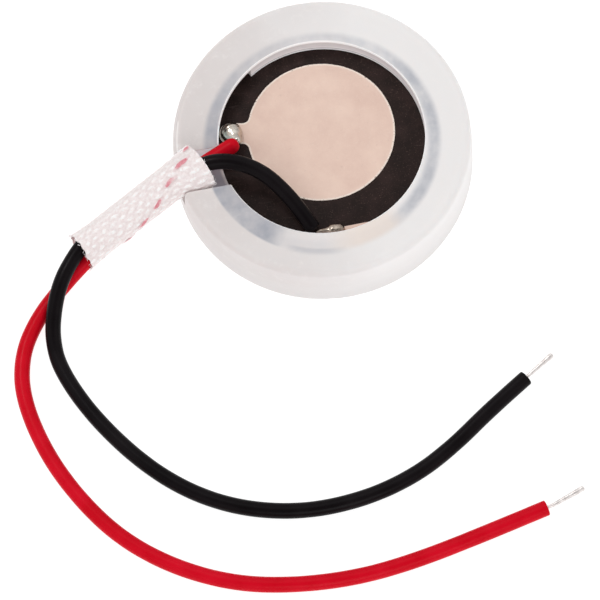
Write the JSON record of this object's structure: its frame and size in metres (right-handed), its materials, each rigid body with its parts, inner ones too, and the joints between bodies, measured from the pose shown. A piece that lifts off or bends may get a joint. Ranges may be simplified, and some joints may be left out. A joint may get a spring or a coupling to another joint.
{
  "type": "ultrasonic atomising disc",
  "caption": "Round piezo ceramic disc in a translucent silicone seal ring, with a red and a black lead soldered on and led out through a braided sleeve.",
  "frame": {"origin": "on the seal ring's axis, at its front face, which is the lowest face here", "axes": "+Z along the ring's axis, out of the soldered back of the disc; -X towards the cable slot, 4.5 degrees short of its heading; +Y across the disc, away from the lead tips"},
  "size_m": [0.0469, 0.0511, 0.0075],
  "materials": {
    "silicone": "translucent milky silicone, satin",
    "ceramic": "dark brown-black lead zirconate titanate, satin",
    "silver_paste": "fired silver paste, matte, warm grey",
    "glaze": "thin protective coat over the front electrode",
    "solder": "bright tin solder",
    "red_pvc": "red insulation, semi-gloss",
    "black_pvc": "black insulation, semi-gloss",
    "tinned_copper": "tinned copper strands",
    "glass_fibre": "white braided glass fibre",
    "tracer_yarn": "pink-red tracer yarn"
  },
  "bodies": {
    "root": {"seal_ring": "silicone", "piezo_disc": "ceramic", "front_electrode": "silver_paste", "front_glaze": "glaze", "edge_electrode": "silver_paste", "back_electrode": "silver_paste", "red_solder_joint": "solder", "black_solder_joint": "solder", "red_insulation": "red_pvc", "red_conductor": "tinned_copper", "red_tip_tinning": "solder", "black_insulation": "black_pvc", "black_conductor": "tinned_copper", "black_tip_tinning": "solder", "braided_sleeve": "glass_fibre", "sleeve_tracer": "tracer_yarn"}
  },
  "joints": []
}
